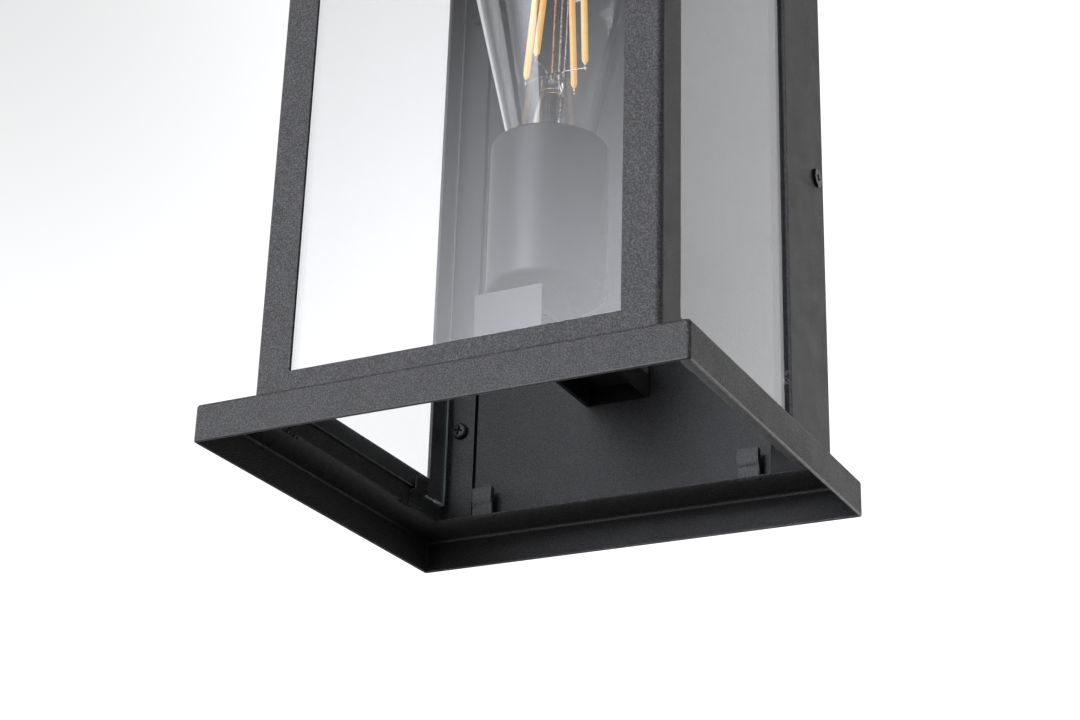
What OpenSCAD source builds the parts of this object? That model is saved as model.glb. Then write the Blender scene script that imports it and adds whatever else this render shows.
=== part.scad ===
// Outdoor wall lantern with an open bottom, three clear panes and one upright lamp.
// Millimetres. The wall is the plane y = 0 and the lantern stands in front of it, at negative y.
// The origin is the middle of the wall bracket's back face, at the height of the two side screws.

/* [Overall] */
// Width of the lower and upper skirts
skirt_w = 170; // [160:1:185]
// Depth of the skirts, front to back
skirt_d = 148; // [140:1:156]
// Height of each skirt
skirt_h = 12.8; // [10:0.1:16]
// Space between the skirts and the wall
skirt_gap = 9; // [6:1:14]
// Height of the side screws above the lower edge
mount_height = 133; // [125:1:140]
// Height of the cage between the two skirts
cage_h = 249.2; // [245:0.1:280]
// Rise of the hipped roof above the upper skirt
roof_rise = 15; // [8:1:30]

/* [Cage] */
// Width of the cage
cage_w = 142; // [136:1:150]
// Setback of the cage's front behind the skirt's front
front_inset = 11; // [8:1:14]
// Thickness of the cage's folded sheet
sheet = 1.2; // [1:0.1:1.5]
// Thickness of the stamped skirts
skirt_sheet = 1; // [0.8:0.1:1.2]
// Width of the two front posts, seen from the front
post_w = 13; // [10:0.5:18]
// Depth of the front posts, seen from the side
post_return = 15; // [12:0.5:20]
// Height of the rails above and below the front window
front_rail = 11.5; // [10:0.5:16]
// Height of the rails above and below the side windows
side_rail = 13; // [11:0.5:18]
// Depth of the closed wall behind each side window
rear_wall = 37; // [34:0.5:42]

/* [Glass] */
// Thickness of the panes
glass_t = 2; // [1.8:0.1:2.5]
// Play between a pane and its frame
glass_play = 0.2; // [0.1:0.05:0.3]

/* [Back panel] */
// Distance from the wall to the back panel's front face
panel_stand = 24; // [22:0.5:27]
// Width of the angle's front leg beside the panel
angle_leg = 11.6; // [9:0.1:13]
// Average seam between the panel and the angles
seam = 0.7; // [0.7:0.1:2]
// How far the panel sits to the right of the middle
panel_shift = 0.6; // [0:0.1:0.6]

/* [Wall bracket] */
// Height of the wall bracket
bracket_h = 24; // [20:1:30]
// Thickness of the wall bracket
bracket_t = 1.5; // [1.5:0.1:2]
// Spacing of the two slots for the junction box screws
slot_spacing = 80; // [76:1:84]
// Length of each slot, end to end
slot_len = 24; // [20:1:28]
// Width of each slot
slot_w = 5; // [4.5:0.1:5.5]

/* [Lamp holder] */
// Distance from the wall to the lamp's axis
lamp_reach = 81.3; // [78:0.1:86]
// Width of the arm
arm_w = 25; // [22:0.5:30]
// Depth of the arm's channel
arm_h = 8.2; // [7:0.1:12]
// Height of the arm's front lip
arm_lip = 16; // [10:0.5:20]
// Distance of the arm's top below the side screws
arm_drop = 75; // [70:1:80]
// Length of the spacer between the arm and the cup
spacer_h = 8.6; // [7:0.1:10]
// Outer radius of the cup
cup_r = 20.5; // [20:0.1:23]
// Height of the cup
cup_h = 56.4; // [52:0.1:58]

/* [Bulb] */
// Length of the bulb, tip to crown
bulb_len = 145; // [144:0.5:147]
// Largest radius of the bulb
bulb_r = 31; // [30.5:0.1:31.2]

/* [Hidden] */

$fn = 64;
BLACK = "#2c2d2f";
GLASS = [0.8, 0.88, 0.9, 0.3];
STEEL = "silver";
BRASS = "#c9a24b";
// Overshoot of a cut, so that it passes clear through a face
eps = 1;

// Depths, from the wall outwards
skirt_back = -skirt_gap;
skirt_front = skirt_back - skirt_d;
front_y = skirt_front + front_inset;
window_front = front_y + post_return;
window_rear = -rear_wall;
panel_y = -panel_stand;
lamp_y = -lamp_reach;
// Heights, from the lower edge upwards
low_z = -mount_height;
cage_z0 = low_z + skirt_h;
cage_z1 = cage_z0 + cage_h;
// Widths
cage_x = cage_w / 2;
inner_x = cage_x - sheet;
angle_x = inner_x - angle_leg;
panel_x = angle_x - seam;

// Skirts
skirt_corner = 1.2;
mouth_front = front_y + sheet;
mouth_rear = skirt_front + 128.8;
tab_x = 51.4;
tab_w = 8;
tab_h = 10;
tab_step = 4.2;
tab_jog = 0.8;
tab_side_top = 1.4;
tab_side_foot = 1;
// Folded corners
bend_r = 2;
// Roof
roof_flat_w = 62;
roof_flat_d = 40;
roof_t = 1;

// Panes
pane_z0 = cage_z0 + 5.7;
pane_z1 = cage_z1 - 2.5;
pane_x = inner_x - glass_play;
pane_rear = panel_y - 3;
front_pane_y = front_y + sheet + glass_play;
side_pane_y = front_pane_y + glass_t + 0.3;
front_pane_x = pane_x - 0.3;
clip_w = 8;
clip_t = 0.8;
clip_grip = 4;
side_clip_y = [front_y + 23, front_y + 101];
front_clip_x = 45;

// Screws: pan head over a plain shank with the thread's outer radius
m4_r = 2;
m4_hole_r = 2.2;
nut_bore_r = 2.05;
small_head_r = 3.1;
small_head_h = 2;
wide_head_r = 3.55;
wide_head_h = 1;
recess_depth = 0.7;
nut_h = 3.2;
nut_r = 4;
angle_screw_x = (angle_x + inner_x) / 2;
angle_screw_z = [low_z + 48, low_z + 226];
side_screw_y = -7.3;
arm_screw_x = 7;

// Wall bracket
bracket_x = inner_x - 0.2;
ear_depth = 15;
slot_end = slot_len / 2 - slot_w / 2;
ground_z = 7.5;

// Arm and lamp holder
arm_z1 = -arm_drop;
arm_t = 1.5;
arm_front = lamp_y - 26.7;
flange_h = 13.5;
nipple_r = 5;
nipple_hole_r = 5.2;
nipple_thread_r = 5.05;
nipple_bore_r = 3.6;
nipple_z0 = arm_z1 - 7;
nipple_nut_r = 8.1;
washer_h = 1;
cup_z0 = arm_z1 + spacer_h;
cup_z1 = cup_z0 + cup_h;
cup_t = 1;
cup_mouth_r = 17;
shoulder_r = 1.2;
foot_r = 2;
body_z0 = cup_z0 + cup_t + nut_h;
cavity_z = body_z0 + 10;
socket_r = 16.5;
socket_thread = 5;
socket_top = cup_z1 - 10.4;
rivet_r = 1;
shell_in_r = 13.45;
shell_t = 0.4;

// Bulb, from the tip upwards
bulb_z0 = cavity_z + 6;
cap_r = 13.15;
cap_z0 = bulb_z0 + 6;
cap_z1 = bulb_z0 + 27;
crown_z = bulb_z0 + bulb_len;
globe_z = crown_z - bulb_r;
// Lowest point of the globe's arc: there the cone runs on as its tangent
cone_slope = 12.3;
cone_top_r = bulb_r * cos(cone_slope);
cone_top_z = globe_z - bulb_r * sin(cone_slope);
neck_r = 13;
neck_z = cone_top_z - (cone_top_r - neck_r) / tan(cone_slope);
envelope_t = 0.8;
stem_r = 4.4;
pinch_z = bulb_z0 + 66.5;
led_r = 1;
led_len = 38;
led_foot_z = bulb_z0 + 68.5;
// Each filament's foot and head, seen along the bulb's axis
led_feet = [[-11.4, 1.8], [-0.7, -11], [1.7, 14.5], [12.5, 0.9]];
led_heads = [[-8.4, 2.3], [1.4, -8.4], [2, 9.9], [11.4, 0.2]];
wire_r = 0.35;

// A block between two corners
module block(lo, hi) {
    translate(lo) cube([hi[0] - lo[0], hi[1] - lo[1], hi[2] - lo[2]]);
}

// Both sides of the lantern
module both_sides() {
    children();
    mirror([1, 0, 0]) children();
}

// A rod between two points, round where n is over 12
module rod(p, q, r, n) {
    d = [q[0] - p[0], q[1] - p[1], q[2] - p[2]];
    flat = sqrt(d[0] * d[0] + d[1] * d[1]);
    translate(p) rotate([0, atan2(flat, d[2]), atan2(d[1], d[0])]) cylinder(r = r, h = norm(d), $fn = n);
}

// A rectangle with round corners, centred on x, from y = 0 backwards
module rounded_rect(w, d, r) {
    translate([-w / 2 + r, 0]) square([w - 2 * r, d]);
    translate([-w / 2, r]) square([w, d - 2 * r]);
    for (x = [-w / 2 + r, w / 2 - r], y = [r, d - r]) translate([x, y]) circle(r = r);
}

// The skirt's outline at height z
module skirt_slab(h, inset) {
    translate([0, skirt_front + inset, 0]) linear_extrude(h)
        rounded_rect(skirt_w - 2 * inset, skirt_d - 2 * inset, skirt_corner - inset);
}

// A pan-head screw with a cross recess, along +z, its head of radius r and height h below z = 0
module pan_screw(length, r, h) {
    difference() {
        union() {
            cylinder(r = m4_r, h = length);
            rotate_extrude() pan_outline(r, h);
        }
        for (a = [0, 90]) rotate(a) block([-1.7, -0.4, -h - eps], [1.7, 0.4, -h + recess_depth]);
    }
}

// Half the section of a pan head, with a round upper edge
module pan_outline(r, h) {
    edge = h / 2;
    polygon(concat(
        [[0, 0], [r, 0]],
        [for (a = [0:15:90]) [r - edge + edge * cos(a), -h + edge - edge * sin(a)]],
        [[0, -h]]
    ));
}

// A hex nut along +z
module hex_nut(r, bore_r, h) {
    difference() {
        cylinder(r = r, h = h, $fn = 6);
        translate([0, 0, -eps]) cylinder(r = bore_r, h = h + 2 * eps);
    }
}

// A hole through the sheet along y
module y_hole(x, y, z, r, length) {
    translate([x, y, z]) rotate([-90, 0, 0]) cylinder(r = r, h = length);
}

// A hole through the sheet along x
module x_hole(x, y, z, r, length) {
    translate([x, y, z]) rotate([0, 90, 0]) cylinder(r = r, h = length);
}

// A tab's side at x, folded back towards the panel and tapering downwards
module tab_side(x) {
    translate([x, 0, cage_z0]) rotate([90, 0, 90]) linear_extrude(skirt_sheet) polygon([
        [mouth_rear, 0], [mouth_rear + tab_side_foot, 0], [mouth_rear + tab_side_top, tab_h],
        [mouth_rear - tab_jog, tab_h], [mouth_rear - tab_jog, tab_step], [mouth_rear, tab_step]
    ]);
}

// Lower skirt: a stamped square ring with a flat flange and two locating tabs
module base_ring() {
    color(BLACK) {
        difference() {
            translate([0, 0, low_z]) skirt_slab(skirt_h, 0);
            translate([0, 0, low_z - eps]) skirt_slab(skirt_h - skirt_sheet + eps, skirt_sheet);
            block([-inner_x, mouth_front, low_z - eps], [inner_x, mouth_rear, cage_z0 + eps]);
        }
        both_sides() {
            block([tab_x - tab_w / 2, mouth_rear, cage_z0 - skirt_sheet],
                [tab_x + tab_w / 2, mouth_rear + skirt_sheet, cage_z0 + tab_step + skirt_sheet]);
            block([tab_x - tab_w / 2, mouth_rear - tab_jog, cage_z0 + tab_step],
                [tab_x + tab_w / 2, mouth_rear - tab_jog + skirt_sheet, cage_z0 + tab_h]);
            tab_side(tab_x - tab_w / 2);
            tab_side(tab_x + tab_w / 2 - skirt_sheet);
        }
    }
}

// The front posts' folded outline, seen from above
module front_fold() {
    difference() {
        union() {
            translate([-cage_x, bend_r]) square([cage_w, post_return - bend_r]);
            translate([-cage_x + bend_r, 0]) square([cage_w - 2 * bend_r, post_return]);
            for (x = [-cage_x + bend_r, cage_x - bend_r]) translate([x, bend_r]) circle(r = bend_r);
        }
        translate([-inner_x, sheet]) square([2 * inner_x, post_return]);
    }
}

// Front of the cage: one folded sheet with the front window
module front_frame() {
    window_x = cage_x - post_w;
    color(BLACK) difference() {
        translate([0, front_y, cage_z0]) linear_extrude(cage_h) front_fold();
        block([-window_x, front_y - eps, cage_z0 + front_rail],
            [window_x, front_y + sheet + eps, cage_z1 - front_rail]);
    }
}

// Right side of the cage: two rails and the wall behind the window
module side_frame() {
    color(BLACK) difference() {
        block([inner_x, window_front, cage_z0], [cage_x, 0, cage_z1]);
        block([inner_x - eps, window_front - eps, cage_z0 + side_rail],
            [cage_x + eps, window_rear, cage_z1 - side_rail]);
        x_hole(inner_x - eps, side_screw_y, 0, m4_hole_r, sheet + 2 * eps);
    }
}
module right_side_frame() {
    side_frame();
}
module left_side_frame() {
    mirror([1, 0, 0]) side_frame();
}

// Right rear angle: carries the back panel on its front leg
module rear_angle() {
    color(BLACK) difference() {
        union() {
            block([angle_x, panel_y, cage_z0 + 1.5], [inner_x, panel_y + sheet, cage_z1 - 1.5]);
            block([inner_x - sheet, panel_y, cage_z0 + 1.5], [inner_x, panel_y + 8, cage_z1 - 1.5]);
        }
        for (z = angle_screw_z) y_hole(angle_screw_x, panel_y - eps, z, m4_hole_r, sheet + 2 * eps);
    }
}
module right_rear_angle() {
    rear_angle();
}
module left_rear_angle() {
    mirror([1, 0, 0]) rear_angle();
}

// Back panel: a tray whose long edges step back behind the angles
module back_panel() {
    edge_x = inner_x - sheet - 0.2;
    left_x = panel_shift - panel_x;
    right_x = panel_shift + panel_x;
    color(BLACK) difference() {
        union() {
            block([left_x, panel_y, cage_z0], [right_x, panel_y + sheet, cage_z1]);
            block([-edge_x, panel_y + sheet, cage_z0], [left_x + sheet, panel_y + 2 * sheet, cage_z1]);
            block([right_x - sheet, panel_y + sheet, cage_z0], [edge_x, panel_y + 2 * sheet, cage_z1]);
            for (z = [cage_z0, cage_z1 - sheet])
                block([left_x, panel_y, z], [right_x, -bracket_t, z + sheet]);
        }
        both_sides() for (z = angle_screw_z) y_hole(angle_screw_x, panel_y, z, m4_hole_r, 3 * sheet);
        both_sides() y_hole(arm_screw_x, panel_y - eps, arm_z1 + flange_h / 2, m4_hole_r, 3 * sheet);
    }
}

module front_glass() {
    color(GLASS)
        block([-front_pane_x, front_pane_y, pane_z0], [front_pane_x, front_pane_y + glass_t, pane_z1]);
}
module right_glass() {
    color(GLASS) block([pane_x - glass_t, side_pane_y, pane_z0], [pane_x, pane_rear, pane_z1]);
}
module left_glass() {
    mirror([1, 0, 0]) right_glass();
}

// A bent clip along +y, standing on a rail's inner face at x = 0: foot, shelf under the pane, grip
module low_clip() {
    reach = glass_play + glass_t + clip_t;
    translate([0, -clip_w / 2, 0]) {
        cube([clip_t, clip_w, pane_z0 - cage_z0]);
        translate([0, 0, pane_z0 - cage_z0 - clip_t]) cube([reach, clip_w, clip_t]);
        translate([reach - clip_t, 0, pane_z0 - cage_z0 - clip_t]) cube([clip_t, clip_w, clip_grip + clip_t]);
    }
}

// A clip along +y that hangs from the top tray, inside the pane
module high_clip() {
    reach = glass_play + glass_t;
    translate([reach, -clip_w / 2, -clip_grip - 3.5]) cube([clip_t, clip_w, clip_grip + 3.5]);
}

// Clips: two below and two above each pane
module glass_clips() {
    color(BLACK) {
        for (y = side_clip_y) {
            both_sides() translate([-inner_x, y, cage_z0]) low_clip();
            both_sides() translate([-inner_x, y, cage_z1]) high_clip();
        }
        both_sides() translate([front_clip_x, front_y + sheet, 0]) rotate(90) {
            translate([0, 0, cage_z0]) low_clip();
            translate([0, 0, cage_z1]) high_clip();
        }
    }
}

// Upper skirt: a shallow tray that closes the cage
module top_tray() {
    color(BLACK) difference() {
        translate([0, 0, cage_z1]) skirt_slab(skirt_h, 0);
        translate([0, 0, cage_z1 + skirt_sheet]) skirt_slab(skirt_h, skirt_sheet);
    }
}

// One hipped solid over the upper skirt, drawn in by inset
module hip(inset) {
    w = skirt_w - 2 * inset;
    d = skirt_d - 2 * inset;
    fw = roof_flat_w;
    fd = roof_flat_d;
    mid = skirt_front + skirt_d / 2;
    translate([0, mid, 0]) polyhedron(
        points = [
            [-w / 2, -d / 2, 0], [w / 2, -d / 2, 0], [w / 2, d / 2, 0], [-w / 2, d / 2, 0],
            [-fw / 2, -fd / 2, roof_rise], [fw / 2, -fd / 2, roof_rise],
            [fw / 2, fd / 2, roof_rise], [-fw / 2, fd / 2, roof_rise]
        ],
        faces = [[0, 1, 2, 3], [7, 6, 5, 4], [0, 4, 5, 1], [1, 5, 6, 2], [2, 6, 7, 3], [3, 7, 4, 0]]
    );
}

// Roof: a hipped sheet on the upper skirt's rim
module roof() {
    lift = cage_z1 + skirt_h;
    color(BLACK) difference() {
        translate([0, 0, lift]) hip(0.4);
        translate([0, 0, lift - roof_t]) hip(0.4);
    }
}

// Screws through the angles into the panel's stepped edges
module angle_screws() {
    color(STEEL) both_sides() for (z = angle_screw_z)
        translate([angle_screw_x, panel_y, z]) rotate([-90, 0, 0])
            pan_screw(7, small_head_r, small_head_h);
}
module angle_nuts() {
    color(STEEL) both_sides() for (z = angle_screw_z)
        translate([angle_screw_x, panel_y + 2 * sheet, z]) rotate([-90, 0, 0])
            hex_nut(nut_r, nut_bore_r, nut_h);
}

// Screws through the cage's sides into the bracket's ears
module side_screws() {
    color(BLACK) both_sides()
        translate([cage_x, side_screw_y, 0]) rotate([0, -90, 0]) pan_screw(8, wide_head_r, wide_head_h);
}

// Wall bracket: a slotted strip with an ear at each end
module wall_bracket() {
    color(STEEL) difference() {
        union() {
            block([-bracket_x, -bracket_t, -bracket_h / 2], [bracket_x, 0, bracket_h / 2]);
            both_sides()
                block([bracket_x - bracket_t, -ear_depth, -bracket_h / 2], [bracket_x, 0, bracket_h / 2]);
        }
        both_sides() {
            for (x = [-slot_end, slot_end])
                y_hole(slot_spacing / 2 + x, -bracket_t - eps, 0, slot_w / 2, bracket_t + 2 * eps);
            block([slot_spacing / 2 - slot_end, -bracket_t - eps, -slot_w / 2],
                [slot_spacing / 2 + slot_end, eps, slot_w / 2]);
            x_hole(bracket_x - bracket_t - eps, side_screw_y, 0, nut_bore_r, bracket_t + 2 * eps);
        }
        y_hole(0, -bracket_t - eps, ground_z, nut_bore_r, bracket_t + 2 * eps);
    }
}
module ground_screw() {
    color("green") translate([0, -bracket_t, ground_z]) rotate([-90, 0, 0])
        pan_screw(bracket_t, wide_head_r, small_head_h);
}

// Support arm: a channel open below, with a front lip and a rear flange against the panel
module support_arm() {
    color(BLACK) difference() {
        union() {
            block([-arm_w / 2, arm_front, arm_z1 - arm_t], [arm_w / 2, panel_y, arm_z1]);
            both_sides() block([arm_w / 2 - arm_t, arm_front, arm_z1 - arm_h], [arm_w / 2, panel_y, arm_z1]);
            block([-arm_w / 2, arm_front, arm_z1 - arm_lip], [arm_w / 2, arm_front + arm_t, arm_z1]);
            block([-arm_w / 2, panel_y - arm_t, arm_z1 - arm_t], [arm_w / 2, panel_y, arm_z1 + flange_h]);
        }
        translate([0, lamp_y, arm_z1 - arm_t - eps]) cylinder(r = nipple_hole_r, h = arm_t + 2 * eps);
        both_sides()
            y_hole(arm_screw_x, panel_y - arm_t - eps, arm_z1 + flange_h / 2, m4_hole_r, arm_t + 2 * eps);
    }
}
module arm_screws() {
    color(STEEL) both_sides() translate([arm_screw_x, panel_y - arm_t, arm_z1 + flange_h / 2])
        rotate([-90, 0, 0])
            pan_screw(7, small_head_r, small_head_h);
}
module arm_nuts() {
    color(STEEL) both_sides() translate([arm_screw_x, panel_y + sheet, arm_z1 + flange_h / 2])
        rotate([-90, 0, 0]) hex_nut(nut_r, nut_bore_r, nut_h);
}

// Nipple: the threaded tube that ties the cup to the arm
module nipple() {
    h = body_z0 + socket_thread - nipple_z0;
    color(STEEL) translate([0, lamp_y, nipple_z0]) difference() {
        cylinder(r = nipple_r, h = h);
        translate([0, 0, -eps]) cylinder(r = nipple_bore_r, h = h + 2 * eps);
    }
}
module nipple_spacer() {
    color(BLACK) translate([0, lamp_y, arm_z1]) difference() {
        cylinder(r = 8, h = spacer_h);
        translate([0, 0, -eps]) cylinder(r = nipple_hole_r, h = spacer_h + 2 * eps);
    }
}
module nipple_nuts() {
    color(STEEL) {
        translate([0, lamp_y, arm_z1 - arm_t - washer_h - nut_h])
            hex_nut(nipple_nut_r, nipple_thread_r, nut_h);
        translate([0, lamp_y, cup_z0 + cup_t]) hex_nut(nipple_nut_r, nipple_thread_r, nut_h);
    }
}

// Lock washer between the lower nut and the arm
module lock_washer() {
    color(STEEL) translate([0, lamp_y, arm_z1 - arm_t - washer_h]) difference() {
        cylinder(r = 8, h = washer_h);
        translate([0, 0, -eps]) cylinder(r = nipple_hole_r, h = washer_h + 2 * eps);
    }
}

// Half the section of the cup, from the axis at the foot to the mouth, drawn in by inset
function cup_outline(inset) = concat(
    [[0, inset], [cup_r - foot_r, inset]],
    [for (a = [-75:15:0]) [cup_r - foot_r + (foot_r - inset) * cos(a), foot_r + (foot_r - inset) * sin(a)]],
    [for (a = [0:10:90]) [cup_r - shoulder_r + (shoulder_r - inset) * cos(a),
        cup_h - shoulder_r + (shoulder_r - inset) * sin(a)]],
    [[0, cup_h - inset]]
);

// Lamp cup: a drawn metal cover with a rolled shoulder
module socket_cup() {
    color("dimgray") translate([0, lamp_y, cup_z0]) difference() {
        rotate_extrude() polygon(cup_outline(0));
        rotate_extrude() polygon(cup_outline(cup_t));
        translate([0, 0, cup_h / 2]) cylinder(r = cup_mouth_r, h = cup_h);
        translate([0, 0, -eps]) cylinder(r = nipple_hole_r, h = cup_t + 2 * eps);
    }
}

// Socket body: the insulator that the screw shell sits in
module socket_body() {
    color("ivory") translate([0, lamp_y, 0]) difference() {
        translate([0, 0, body_z0]) cylinder(r = socket_r, h = socket_top - body_z0);
        translate([0, 0, cavity_z]) cylinder(r = shell_in_r + shell_t, h = cup_h);
        translate([0, 0, body_z0 - eps]) cylinder(r = nipple_thread_r, h = socket_thread + eps);
        translate([0, 0, body_z0]) cylinder(r = rivet_r + 0.05, h = cup_h);
    }
}

// Screw shell: the thin brass liner that takes the bulb's thread
module screw_shell() {
    color(BRASS) translate([0, lamp_y, cavity_z + 4]) difference() {
        cylinder(r = shell_in_r + shell_t, h = socket_top - 1 - cavity_z - 4);
        translate([0, 0, -eps]) cylinder(r = shell_in_r, h = cup_h);
    }
}

// Centre contact: a brass tongue that rises to the bulb's tip
module centre_contact() {
    color(BRASS) translate([0, lamp_y, cavity_z]) difference() {
        union() {
            block([-3, -3.5, 0], [3, 9, 0.6]);
            block([-3, 8.4, 0], [3, 9, 5.4]);
            block([-3, -3, 5.4], [3, 9, 6]);
        }
        translate([0, 0, -eps]) cylinder(r = rivet_r + 0.05, h = 3);
    }
}
module contact_rivet() {
    color(BRASS) translate([0, lamp_y, 0]) {
        translate([0, 0, body_z0 + socket_thread + 0.5])
            cylinder(r = rivet_r, h = cavity_z - body_z0 - socket_thread + 0.1);
        translate([0, 0, cavity_z + 0.6]) cylinder(r = 2 * rivet_r, h = 0.8);
    }
}

// Half the section of the bulb's glass, pulled in by its thickness where in is not 0
function glass_outline(in) = concat(
    [[0, neck_z - 6], [neck_r - 1 - in, neck_z - 6]],
    [[neck_r - 1 - in, neck_z - 1], [neck_r - in, neck_z + 0.5]],
    [for (a = [-cone_slope:6:90]) [(bulb_r - in) * cos(a), globe_z + (bulb_r - in) * sin(a)]],
    [[0, crown_z - in]]
);

// Bulb: a tall pear-shaped envelope, hollow, open at the neck
module bulb_glass() {
    color(GLASS) translate([0, lamp_y, 0]) difference() {
        rotate_extrude() polygon(glass_outline(0));
        translate([0, 0, -0.01]) rotate_extrude() polygon(glass_outline(envelope_t));
    }
}

// Bulb cap: the metal shell that turns into the screw shell
module bulb_cap() {
    color("silver") translate([0, lamp_y, 0]) rotate_extrude() polygon([
        [cap_r - 0.6, cap_z0 + 0.5], [cap_r, cap_z0 + 1], [cap_r, cap_z1 - 4], [cap_r + 0.1, cap_z1 - 1],
        [cap_r + 0.1, cap_z1], [neck_r - 0.95, cap_z1], [neck_r - 0.95, cap_z0 + 1.2],
        [cap_r - 0.6, cap_z0 + 1.2]
    ]);
}

// Insulator between the cap and its tip
module cap_insulator() {
    color("black") translate([0, lamp_y, 0]) rotate_extrude() polygon([
        [4.6, bulb_z0 + 1.8], [6, bulb_z0 + 1.8], [cap_r - 0.7, cap_z0 + 0.5], [cap_r - 0.7, cap_z0 + 1.2],
        [4.6, cap_z0 + 1.2]
    ]);
}
module tip_contact() {
    color("silver") translate([0, lamp_y, 0]) rotate_extrude() polygon(concat(
        [for (a = [-90:15:0]) [4.5 * cos(a), bulb_z0 + 1.8 + 1.8 * sin(a)]],
        [[4.5, cap_z0], [0, cap_z0]]
    ));
}

// Driver: a small circuit board inside the cap
module led_driver() {
    color("seagreen") translate([0, lamp_y, 0]) {
        block([-7, -0.6, cap_z0 + 2], [7, 0.6, cap_z1 - 2]);
        block([-4, 0.6, cap_z0 + 5], [2, 4, cap_z0 + 11]);
    }
}

// Stem: the flared glass mount, sealed to the neck and pinched flat at its head
module glass_stem() {
    flare_z = neck_z + 1;
    color(GLASS) translate([0, lamp_y, 0]) {
        rotate_extrude() polygon([
            [0, flare_z], [neck_r - envelope_t - 0.5, flare_z], [9.5, flare_z + 4], [7.4, flare_z + 11],
            [6, flare_z + 20], [stem_r, flare_z + 28], [stem_r, pinch_z - 8], [0, pinch_z - 8]
        ]);
        block([-stem_r, -1.6, pinch_z - 9], [stem_r, 1.6, pinch_z]);
    }
}

// A point at height z, drawn k times as far from the bulb's axis as p
function around_axis(p, k, z) = [k * p.x, k * p.y, z];

// Filaments: four slim sticks that lean together towards their heads
module led_filaments() {
    color("orange") translate([0, lamp_y, 0]) for (i = [0:3])
        rod(around_axis(led_feet[i], 1, led_foot_z), around_axis(led_heads[i], 1, led_foot_z + led_len),
            led_r, 24);
}

// A thin six-sided wire between two points
module wire(p, q) {
    rod(p, q, wire_r, 6);
}

// Wires: two posts inside the ring, a spoke to each head, a tail and a stay at each foot
module filament_wires() {
    head_z = led_foot_z + led_len;
    post = 1.4;
    stay = 3.4;
    color(STEEL) translate([0, lamp_y, 0]) {
        for (s = [-1, 1]) wire([s * post, 0, pinch_z + 0.1], [s * post, 0, head_z + 3]);
        for (i = [0:3]) {
            s = led_feet[i].x + led_feet[i].y > 0 ? 1 : -1;
            wire([s * (post + wire_r), 0, head_z + 2.6], around_axis(led_heads[i], 0.94, head_z + 1));
            wire([s * stay, 0, pinch_z + wire_r + 0.1], around_axis(led_feet[i], 0.97, led_foot_z - 1));
        }
    }
}

base_ring();
front_frame();
left_side_frame();
right_side_frame();
left_rear_angle();
right_rear_angle();
back_panel();
front_glass();
left_glass();
right_glass();
glass_clips();
top_tray();
roof();
angle_screws();
angle_nuts();
side_screws();
wall_bracket();
ground_screw();
support_arm();
arm_screws();
arm_nuts();
nipple();
nipple_spacer();
nipple_nuts();
lock_washer();
socket_cup();
socket_body();
screw_shell();
centre_contact();
contact_rivet();
bulb_glass();
bulb_cap();
cap_insulator();
tip_contact();
led_driver();
glass_stem();
led_filaments();
filament_wires();
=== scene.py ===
"""Outdoor wall lantern: finishes, fine detail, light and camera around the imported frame. Metres, +Z up."""

import math

import bmesh
import bpy
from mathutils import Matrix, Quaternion, Vector


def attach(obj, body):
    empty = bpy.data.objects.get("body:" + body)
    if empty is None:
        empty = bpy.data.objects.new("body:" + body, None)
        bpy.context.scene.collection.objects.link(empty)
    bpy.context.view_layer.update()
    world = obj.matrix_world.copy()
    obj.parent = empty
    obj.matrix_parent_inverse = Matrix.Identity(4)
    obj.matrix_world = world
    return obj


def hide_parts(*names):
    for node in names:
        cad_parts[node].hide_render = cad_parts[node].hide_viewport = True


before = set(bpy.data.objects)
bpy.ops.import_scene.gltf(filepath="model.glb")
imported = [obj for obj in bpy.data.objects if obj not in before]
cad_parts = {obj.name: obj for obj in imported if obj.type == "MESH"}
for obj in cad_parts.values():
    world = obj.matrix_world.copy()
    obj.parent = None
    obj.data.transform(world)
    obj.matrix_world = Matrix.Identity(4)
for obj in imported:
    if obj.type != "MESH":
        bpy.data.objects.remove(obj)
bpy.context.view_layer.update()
MM = 0.001
LANTERN, BULB = "lantern", "bulb"


# ---------------------------------------------------------------- shader helpers


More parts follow.
